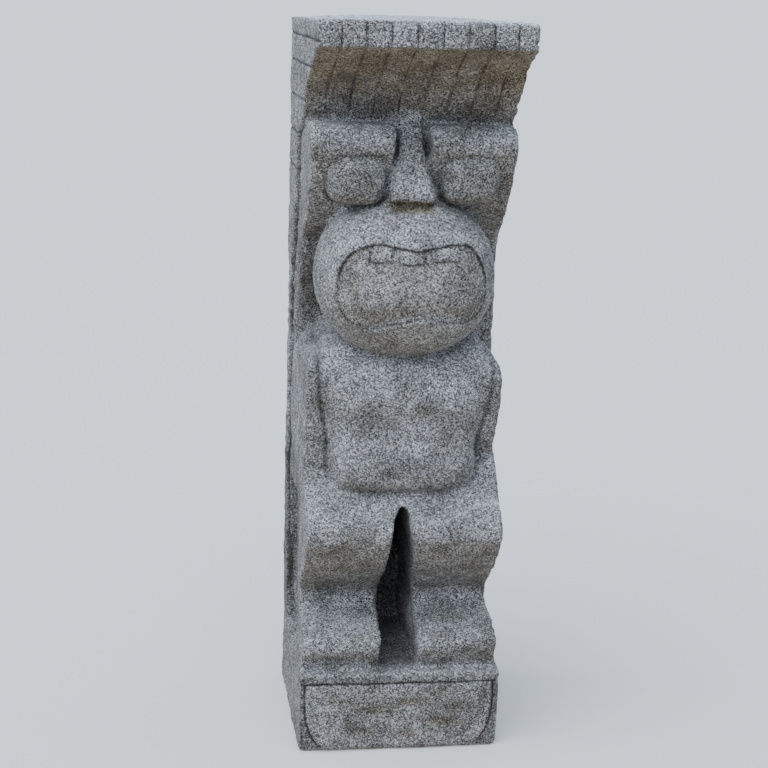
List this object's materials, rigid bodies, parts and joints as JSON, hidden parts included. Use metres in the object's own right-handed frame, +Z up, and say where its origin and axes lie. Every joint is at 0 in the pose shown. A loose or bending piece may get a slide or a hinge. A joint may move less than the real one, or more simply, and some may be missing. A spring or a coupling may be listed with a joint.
{
  "type": "tiki statue",
  "caption": "free-standing carved stone tiki figure with a flared cornice board behind it, for a garden, terrace or entrance",
  "frame": {"origin": "centre of the flat underside of the base block", "axes": "+Z up, the figure looks along -Y, +X is the viewer's right"},
  "size_m": [0.2813, 0.377, 1],
  "materials": {
    "volcanic_stone": "chiselled and rubbed grey lava stone, open grain, matt, weathered"
  },
  "bodies": {
    "root": {"tiki_statue": "volcanic_stone"}
  },
  "joints": []
}
